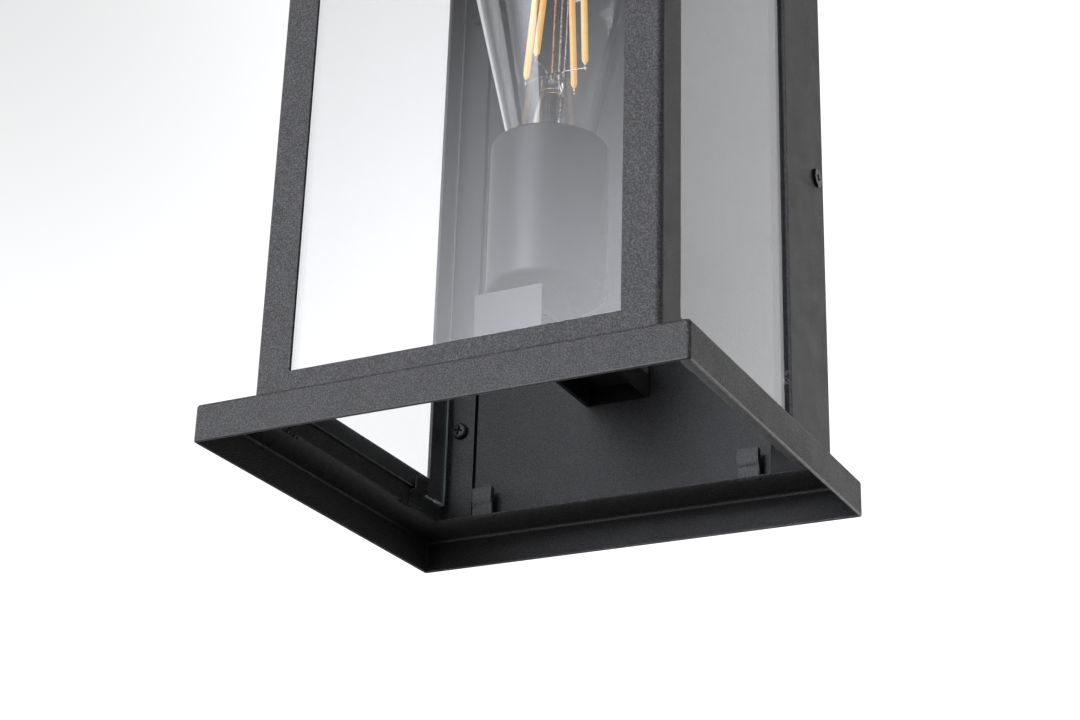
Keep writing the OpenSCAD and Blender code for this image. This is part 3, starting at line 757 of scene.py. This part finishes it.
def pane(name, node, lo, hi):
    """A pane with flat faces and eased edges, of which the upright ones are ground."""
    ease = 0.3
    loops = []
    thin = 1 if hi[0] - lo[0] > 10 else 0
    for depth, inset in ((0, ease), (ease, 0), (2.0 - ease, 0), (2.0, ease)):
        a = [lo[k] + (depth if k == thin else inset) for k in (0, 1)]
        b = [hi[k] - (0 if k == thin else inset) for k in (0, 1)]
        z0, z1 = lo[2] + inset, hi[2] - inset
        if thin:
            loops.append([(a[0], a[1], z0), (b[0], a[1], z0), (b[0], a[1], z1), (a[0], a[1], z1)])
        else:
            loops.append([(a[0], a[1], z0), (a[0], b[1], z0), (a[0], b[1], z1), (a[0], a[1], z1)])
    shape = Shape()
    shape.skin(loops, ends=True)
    shape.finish = [i % 2 for i in range(len(shape.faces) - 2)] + [0, 0]
    piece(name, shape, (PANE, PANE_EDGE), LANTERN, (node,), sharp=10)


pane("front_pane", "front_glass", (-69.3, -144.6, PANE_LOW), (69.3, -142.6, PANE_HIGH))
pane("left_pane", "left_glass", (-69.6, -142.3, PANE_LOW), (-67.6, -27.0, PANE_HIGH))
pane("right_pane", "right_glass", (67.6, -142.3, PANE_LOW), (69.6, -27.0, PANE_HIGH))


def clips():
    """Bent spring clips: a foot on the rail, a shelf under the pane and a tongue inside it, and hangers."""
    foot = [(0.4, 0, -120.0), (0.4, 0, -116.8), (0.7, 0, -115.5)]
    shelf = [(1.5, 0, -115.0), (2.3, 0, -114.9)]
    flared_end = [(2.75, 0, -114.2), (2.62, 0, -112.4), (2.7, 0, -111.2), (3.3, 0, -110.4)]
    low = smooth_path(foot + shelf + flared_end, 5)
    high = smooth_path([(2.6, 0, 129.0), (2.6, 0, 126.0), (2.6, 0, 122.5), (2.75, 0, 121.6)], 5)
    shape = Shape()
    tongue = bent_strip(low, 7.8, 0.75, (0, 1, 0))
    hanger = bent_strip(high, 7.8, 0.75, (0, 1, 0))
    for y in (-123.0, -45.0):
        for sign in (-1, 1):
            for strip in (tongue, hanger):
                points = [(sign * (69.8 - p[0]), y + p[1], p[2]) for p in strip.points]
                shape.add(points, strip.faces)
    for x in (-45.0, 45.0):
        for strip in (tongue, hanger):
            points = [(x + p[1], -144.8 + p[0], p[2]) for p in strip.points]
            shape.add(points, strip.faces)
    piece("spring_clips", shape, (POWDER,), LANTERN, ("glass_clips",))


clips()


# ---------------------------------------------------------------- screws, nuts and the threaded nipple


def fasteners():
    """Every screw and nut, with cross recesses, chamfers and threads."""
    back, left, right = (0, 1, 0), (-1, 0, 0), (1, 0, 0)
    short = screw(6.9, 3.1, 2.0)
    wide = screw(7.9, 3.55, 1.0)
    nut = hex_nut(4.0, 2.07, 3.2)
    angle, nuts = Shape(), Shape()
    for x in (-64.0, 64.0):
        for z, spin in ((-85.0, 18.0), (93.0, -31.0)):
            merge(angle, short, (x, -24.0, z), back, spin)
            merge(nuts, nut, (x, -21.6, z), back, spin)
    piece("angle_pan_screws", angle, (SCREW_BLACK,), LANTERN, ("angle_screws",))
    piece("angle_hex_nuts", nuts, (ZINC,), LANTERN, ("angle_nuts",))
    arm, arm_nuts = Shape(), Shape()
    for x, spin in ((-7.0, 40.0), (7.0, 5.0)):
        merge(arm, short, (x, -25.5, -68.25), back, spin)
        merge(arm_nuts, nut, (x, -22.8, -68.25), back, spin)
    piece("arm_pan_screws", arm, (SCREW_BLACK,), LANTERN, ("arm_screws",))
    piece("arm_hex_nuts", arm_nuts, (ZINC,), LANTERN, ("arm_nuts",))
    sides = Shape()
    merge(sides, wide, (71.0, -7.3, 0.0), left, 12.0)
    merge(sides, wide, (-71.0, -7.3, 0.0), right, -20.0)
    piece("side_pan_screws", sides, (SCREW_BLACK,), LANTERN, ("side_screws",))
    ground = Shape()
    merge(ground, screw(1.5, 3.55, 2.0), (0.0, -1.5, 7.5), back, 25.0)
    piece("ground_pan_screw", ground, (GREEN,), LANTERN, ("ground_screw",))


fasteners()


# ---------------------------------------------------------------- lampholder

LAMP_Y = -81.3
LAMP_PITCH = 3.63


def lamp_piece(name, shape, material, body, node, sharp=40.0):
    """A piece whose shape was built about z, moved to the lamp's axis."""
    shape.points = place(shape.points, (0, LAMP_Y, 0))
    piece(name, shape, (material,), body, (node,), sharp)


def lamp_nipple():
    """The threaded tube that ties cup and arm, with chamfered ends, and its two flat nuts."""
    low, high, chamfer, n = -82.0, -57.2, 0.3, 32
    shape = Shape()
    turns = thread(4.72, 5.0, 1.0, low + chamfer, high - chamfer, n)
    bore = ((3.9, high), (3.6, high - chamfer), (3.6, low + chamfer), (3.9, low))
    loops = [circle(4.6, low, n)] + turns + [circle(4.6, high, n)] + [circle(r, z, n) for r, z in bore]
    shape.skin(loops, ring=True)
    lamp_piece("threaded_nipple", shape, ZINC, LANTERN, "nipple")
    nuts = Shape()
    for z, spin in ((-80.7, 14.0), (-65.4, -9.0)):
        merge(nuts, hex_nut(8.1, 5.07, 3.2), (0, 0, z), spin=spin)
    lamp_piece("nipple_flat_nuts", nuts, ZINC, LANTERN, "nipple_nuts")


def lamp_cup():
    """A drawn cup with a round foot, a tight upper shoulder and an open mouth with a rolled lip."""
    low, high = -66.4, -10.0
    section = [(5.2, low)] + arc(18.5, low + 2, 2, 2, -90, 0, 10) + arc(19.3, high - 1.2, 1.2, 1.2, 0, 90, 8)
    section += arc(17.5, high - 0.5, 0.5, 0.5, 90, 270, 8)
    section += arc(19.3, high - 1.2, 0.2, 0.2, 90, 0, 3) + arc(18.5, low + 2, 1, 1, 0, -90, 8)
    section += [(5.2, low + 1)]
    lamp_piece("lamp_cup", lathe(section, 160), CUP_PAINT, LANTERN, "socket_cup", 50)


def ceramic_body():
    """Glazed insulator with grip flutes, a round upper edge and the cavity for the screw shell."""
    low, floor_z, high = -62.2, -52.2, -20.4
    n = 120
    shape = Shape()

    def fluted(r, z, depth):
        """A circle with twenty shallow grip flutes."""
        loop = []
        for x, y, height in circle(r, z, n):
            shrink = 1 - depth * (0.5 + 0.5 * math.cos(20 * math.atan2(y, x)))
            loop.append((x * shrink, y * shrink, height))
        return loop

    loops = [circle(5.05, low, n), circle(15.7, low, n), circle(16.5, low + 0.8, n), circle(16.5, low + 3, n)]
    loops += [fluted(16.5, low + 4, 0.03), fluted(16.5, high - 5, 0.03), circle(16.5, high - 4, n)]
    loops += [circle(r, z, n) for r, z in arc(15.7, high - 0.8, 0.8, 0.8, 0, 90, 5)]
    loops += [circle(14.2, high, n), circle(13.85, high - 0.35, n), circle(13.85, floor_z, n)]
    loops += [circle(1.05, floor_z, n), circle(1.05, low + 5, n), circle(5.05, low + 5, n)]
    shape.skin(loops, ring=True)
    lamp_piece("ceramic_body", shape, CERAMIC, LANTERN, "socket_body")


def screw_shell():
    """The thin brass shell, pressed into a screw thread inside and out."""
    low, high, mean, swing, wall = -48.2, -21.4, 13.6, 0.1, 0.3
    n = 96
    count = round((high - low) / LAMP_PITCH * 10)

    def loop(i, offset):
        """One turn round a skin of the shell, offset from its middle."""
        z = low + (high - low) * i / count
        fade = min(1.0, (z - low) / 2, (high - z) / 2)
        points = []
        for j in range(n):
            a = 2 * math.pi * j / n
            r = mean + offset + swing * fade * math.cos(2 * math.pi * (z / LAMP_PITCH - j / n))
            points.append((r * math.cos(a), r * math.sin(a), z))
        return points

    shape = Shape()
    outside = [loop(i, wall / 2) for i in range(count + 1)]
    inside = [loop(i, -wall / 2) for i in range(count, -1, -1)]
    shape.skin(outside + inside, ring=True)
    lamp_piece("threaded_shell", shape, BRASS, LANTERN, "screw_shell")


lamp_nipple()
lamp_cup()
ceramic_body()
screw_shell()


# ---------------------------------------------------------------- bulb

NECK_Z, GLOBE_Z, GLOBE_R, CONE = -17.7, 67.8, 31.0, 12.3


def envelope(inset):
    """Half the section of the bulb's glass from the neck to the crown, drawn in by inset."""
    neck = [(r - inset, NECK_Z + rise) for r, rise in ((12.0, -6), (12.0, -2.5), (12.3, -1), (13.0, 1))]
    globe = arc(0, GLOBE_Z, GLOBE_R - inset, GLOBE_R - inset, -CONE, 89.5, 40)
    foot, knee = Vector(neck[-1]), Vector(globe[0])
    cone = [tuple(foot.lerp(knee, i / 12)) for i in range(1, 12)]
    return neck + cone + globe + [(0.001, GLOBE_Z + GLOBE_R - inset)]


def bulb_shell():
    """The blown envelope: two skins joined at the neck's rim."""
    section = envelope(0.8)[::-1] + envelope(0.0)
    lamp_piece("bulb_envelope", lathe(section, 160, ring=False), BLOWN, BULB, "bulb_glass", 80)


def cap():
    """The bulb's nickel cap: a rolled thread below a plain skirt, with a crimped upper rim."""
    low, high, n = -39.7, -19.2, 96
    loops = [circle(12.2, low, n)]
    loops += thread(12.45, 13.13, LAMP_PITCH, low + 0.6, high - 4.0, n, 10)
    crimp = ((12.5, 3.2), (12.9, 2.4), (13.2, 1.6), (13.25, 0.4), (13.1, 0.0), (12.3, 0.0), (12.1, 0.4))
    loops += [circle(r, high - drop, n) for r, drop in crimp]
    loops += [circle(12.05, high - 3, n), circle(12.05, low + 1.0, n)]
    shape = Shape()
    shape.skin(loops, ring=True)
    lamp_piece("threaded_cap", shape, NICKEL, BULB, "bulb_cap")
    glass = [(4.6, -44.4), (5.9, -44.4)] + arc(6.2, -41.4, 6.1, 1.9, -90, 0, 8)[1:]
    glass += [(12.4, -39.7), (12.4, -39.0), (4.6, -39.0)]
    lamp_piece("vitrite_ring", lathe(glass, 96), VITRITE, BULB, "cap_insulator", 50)
    tip = [(0.001, -46.2)] + arc(0, -44.4, 4.5, 1.8, -88, -20, 8)
    tip += [(4.55, -43.9), (4.3, -43.4), (4.3, -40.3), (0.001, -40.3)]
    lamp_piece("tip_button", lathe(tip, 64), NICKEL, BULB, "tip_contact", 50)


def stem():
    """The hollow flared mount: trumpet, tube, flattened press and the thin exhaust tube inside."""
    n = 48
    press_top = 20.3
    outer = [(11.7, -16.7), (9.6, -13.0), (7.6, -6.0), (6.2, 2.0), (5.0, 8.0), (4.6, 11.0)]
    shape = Shape()

    def oval(a, b, z):
        """Points of an ellipse about z."""
        return [(a * math.cos(t), b * math.sin(t), z) for t in (2 * math.pi * i / n for i in range(n))]

    wall = [circle(r, z, n) for r, z in outer]
    press = [oval(4.6, 3.4, 12.6), oval(4.5, 2.2, 14.2), oval(4.4, 1.65, 16.0), oval(4.4, 1.6, 18.8),
             oval(4.2, 1.45, 19.8), oval(3.6, 1.0, press_top), oval(1.0, 0.3, press_top)]
    inner = [circle(r - 1.0, z, n) for r, z in outer[::-1]]
    tip = [oval(3.0, 1.9, 12.2), oval(1.2, 0.5, 13.6)]
    shape.skin(tip[::-1] + inner + wall + press, ends=True)
    exhaust = [circle(r, z, 24) for r, z in ((1.9, -15.0), (1.9, 11.0), (1.2, 11.0), (1.2, -15.0))]
    shape.skin(exhaust, ring=True)
    beads = ((-2.9, -1.3, 17.4, 0.7), (-1.2, 1.3, 19.6, 0.6), (2.2, -1.2, 18.6, 0.65), (3.4, 0.9, 16.6, 0.6))
    for x, y, z, size in beads:
        a, b = size * 0.8, size * 0.6
        bead = lathe([(0.01, -size), (a, -b), (size, 0), (a, b), (0.01, size)], 16, ring=False)
        merge(shape, bead, (x, y, z))
    lamp_piece("flared_stem", shape, BLOWN, BULB, "glass_stem", 70)


FEET = ((-11.4, 1.8, 22.3), (-0.7, -11.0, 22.3), (1.7, 14.5, 22.3), (12.5, 0.9, 22.3))
HEADS = ((-8.4, 2.3, 60.3), (1.4, -8.4, 60.3), (2.0, 9.9, 60.3), (11.4, 0.2, 60.3))


def on_axis(p):
    """A point of the bulb's own frame, moved to the lamp's axis."""
    return (p[0], p[1] + LAMP_Y, p[2])


def filaments():
    """Four slim sticks of amber silicone with tapered ends, each on a metal tail at both ends."""
    sticks, tails = Shape(), Shape()
    for foot, head in zip(FEET, HEADS):
        a, b = Vector(on_axis(foot)), Vector(on_axis(head))
        way = (b - a).normalized()
        ends = ((0.0, 0.45), (0.5, 0.75), (1.2, 1.0), (1.9, 1.05))
        path = [a + way * d for d, r in ends] + [b - way * d for d, r in ends[::-1]]
        radii = [r * 1.12 for d, r in ends] + [r * 1.12 for d, r in ends[::-1]]
        merge(sticks, tube([tuple(p) for p in path], radii, 20))
        merge(tails, tube([tuple(a - way * 2.6), tuple(a + way * 0.6)], 0.3, 8))
        merge(tails, tube([tuple(b - way * 0.6), tuple(b + way * 1.6)], 0.3, 8))
    piece("filament_sticks", sticks, (GLOWING_PHOSPHOR,), BULB, ("led_filaments",), sharp=70)
    return tails


def wires(shape):
    """Copper and nickel posts, the long pale lead, spokes to the heads and stays to the feet."""
    def run(path, radius, n=8, finish=0):
        """Adds a wire along a path about the lamp's axis."""
        merge(shape, tube([on_axis(p) for p in path], radius, n), finish=finish)

    run(((0.0, 0.0, 19.0), (0.1, 0.0, 24.0), (0.5, 0.2, 50.0), (0.6, 0.3, 61.5)), 0.33, 10, finish=1)
    run(((2.2, 1.0, 17.5), (2.3, 1.05, 24.0), (2.75, 1.25, 50.0), (2.9, 1.3, 62.8)), 0.36, 10)
    lead = ((2.6, 1.2, 0.0), (3.2, 1.5, 10.0), (3.7, 1.7, 17.0), (4.4, 2.0, 36.0), (4.7, 2.1, 60.0))
    run(smooth_path(lead), 0.3)
    hub = ((0.6, 0.3, 61.4), (2.9, 1.3, 62.6))
    for head, start in zip(HEADS, (hub[0], hub[1], hub[0], hub[1])):
        end = (head[0], head[1], head[2] + 1.2)
        mid = tuple((p + q) / 2 for p, q in zip(start, end))
        run(smooth_path((start, (mid[0], mid[1], mid[2] + 0.4), end), 5), 0.19)
    press = ((-3.9, 0.6, 18.6), (-1.5, -1.2, 19.0), (1.0, 1.2, 18.8), (3.9, 0.4, 18.4))
    for foot, start in zip(FEET, press):
        end = (foot[0] * 1.05, foot[1] * 1.05, foot[2] - 1.9)
        knee = (start[0] * 1.1, start[1] * 1.1, start[2] + 2.2)
        mid = tuple((p + q) / 2 for p, q in zip(knee, end))
        run(smooth_path((start, knee, mid, end), 5), 0.2)
    metals = (NICKEL_WIRE, COPPER_WIRE)
    piece("filament_leads", shape, metals, BULB, ("filament_wires",), sharp=70)


bulb_shell()
cap()
stem()
wires(filaments())


# ---------------------------------------------------------------- camera, light and floor


def bearing(azimuth, elevation):
    """Unit vector for a bearing in degrees: azimuth from the front, growing to the right, and elevation."""
    a, e = math.radians(azimuth), math.radians(elevation)
    return Vector((math.sin(a) * math.cos(e), -math.cos(a) * math.cos(e), math.sin(e)))


def camera():
    """A camera low at the right that looks up into the lower half of the lantern."""
    data = bpy.data.cameras.new("camera")
    data.sensor_width = 36.0
    data.lens = 71.22
    cam = bpy.data.objects.new("camera", data)
    cam.location = (0.3025, -0.6656, -0.3706)
    cam.rotation_euler = [math.radians(a) for a in (113.144, -1.555, 26.855)]
    bpy.context.scene.collection.objects.link(cam)
    bpy.context.scene.camera = cam


def studio():
    """Light by direction: a bright backdrop, a soft box left of the camera, a side light and dim ends."""
    world = bpy.data.worlds.new("studio")
    bpy.context.scene.world = world
    world.use_nodes = True
    nodes, links = world.node_tree.nodes, world.node_tree.links
    direction = nodes.new("ShaderNodeTexCoord").outputs["Generated"]

    def combine(operation, a, b=None):
        """One step of arithmetic on numbers and node outputs."""
        node = nodes.new("ShaderNodeMath")
        node.operation = operation
        for socket, value in zip(node.inputs, (a, b)):
            if isinstance(value, (int, float)):
                socket.default_value = value
            elif value is not None:
                links.new(value, socket)
        return node.outputs[0]

    def times(first, *others):
        """All the values multiplied together."""
        for other in others:
            first = combine("MULTIPLY", first, other)
        return first

    def less(share):
        """What is left after a share is taken away."""
        return combine("SUBTRACT", 1.0, share)

    def ease(value, start, end, low=0.0, high=1.0):
        """Goes smoothly from low to high as the value goes from start to end."""
        node = nodes.new("ShaderNodeMapRange")
        node.interpolation_type = "SMOOTHSTEP"
        for name, v in (("From Min", start), ("From Max", end), ("To Min", low), ("To Max", high)):
            node.inputs[name].default_value = v
        links.new(value, node.inputs["Value"])
        return node.outputs["Result"]

    def toward(azimuth, elevation):
        """Degrees between the direction and a bearing."""
        dot = nodes.new("ShaderNodeVectorMath")
        dot.operation = "DOT_PRODUCT"
        dot.inputs[1].default_value = bearing(azimuth, elevation)
        links.new(direction, dot.inputs[0])
        return times(combine("ARCCOSINE", dot.outputs["Value"]), math.degrees(1.0))

    axes = nodes.new("ShaderNodeSeparateXYZ")
    links.new(direction, axes.inputs["Vector"])
    front = times(axes.outputs["Y"], -1.0)
    azimuth = times(combine("ARCTAN2", axes.outputs["X"], front), math.degrees(1.0))
    elevation = times(combine("ARCSINE", axes.outputs["Z"]), math.degrees(1.0))

    backdrop = ease(toward(-174, 10), 90, 40, 0.4, 1.18)
    ceiling = ease(elevation, 33, 60, 1.0, 0.4)
    upper_left = times(ease(azimuth, -154, -134), ease(elevation, 14, 34, 0.0, 0.34))
    around_camera = times(ease(azimuth, -2, 3), ease(azimuth, 54, 49, 0.0, 0.6))
    right_end = times(ease(azimuth, 49, 54), ease(azimuth, 152, 136, 0.0, 0.88))
    beside_backdrop = times(ease(azimuth, 140, 150), ease(azimuth, 172, 160, 0.0, 0.2))
    room = times(backdrop, less(upper_left), ceiling, less(around_camera), less(right_end))
    room = times(room, combine("ADD", 1.0, beside_backdrop))

    side_width = times(ease(azimuth, 49, 54), ease(azimuth, 150, 120))
    side_light = times(side_width, ease(elevation, 22, 12), ease(elevation, -14, -2, 0.0, 0.5))
    left_width = times(ease(azimuth, -98, -78), ease(azimuth, -30, -60))
    left_wall = times(left_width, ease(elevation, 36, 18, 0.0, 1.5))
    key_width = times(ease(azimuth, -45, -5, 0.0, 1.4), ease(azimuth, 1, -2))
    key_foot = combine("ADD", ease(elevation, -45, -10, 0.0, 0.42), ease(elevation, 6, 16, 0.0, 0.58))
    key = times(key_width, key_foot, ease(elevation, 36, 18, 0.0, 8.4))

    below = ease(elevation, -50, 2, 0.04, 1.0)
    floor_width = times(ease(azimuth, -150, -120), ease(azimuth, -20, -50))
    left_floor = times(floor_width, ease(elevation, -80, -45), ease(elevation, 5, -12, 0.0, 0.25))
    room = combine("ADD", room, combine("ADD", side_light, left_wall))
    room = combine("ADD", times(room, below), left_floor)
    cool = nodes.new("ShaderNodeBackground")
    links.new(room, nodes["Background"].inputs["Strength"])
    links.new(times(key, below), cool.inputs["Strength"])
    nodes["Background"].inputs["Color"].default_value = (0.995, 1.0, 1.01, 1.0)
    cool.inputs["Color"].default_value = (0.97, 0.98, 1.05, 1.0)
    both = nodes.new("ShaderNodeAddShader")
    links.new(nodes["Background"].outputs["Background"], both.inputs[0])
    links.new(cool.outputs["Background"], both.inputs[1])
    links.new(both.outputs["Shader"], nodes["World Output"].inputs["Surface"])


def floor():
    """A wide pale floor well below the lantern. It doesn't light the lantern's underside."""
    half, height = 30.0, -1.0
    mesh = bpy.data.meshes.new("floor")
    corners = [(-half, -half, height), (half, -half, height), (half, half, height), (-half, half, height)]
    mesh.from_pydata(corners, [], [(0, 1, 2, 3)])
    mesh.materials.append(floor_paper())
    obj = bpy.data.objects.new("floor", mesh)
    bpy.context.scene.collection.objects.link(obj)
    obj.visible_diffuse = False
    obj.visible_glossy = False


camera()
studio()
floor()
bpy.context.scene.view_settings.view_transform = "Standard"
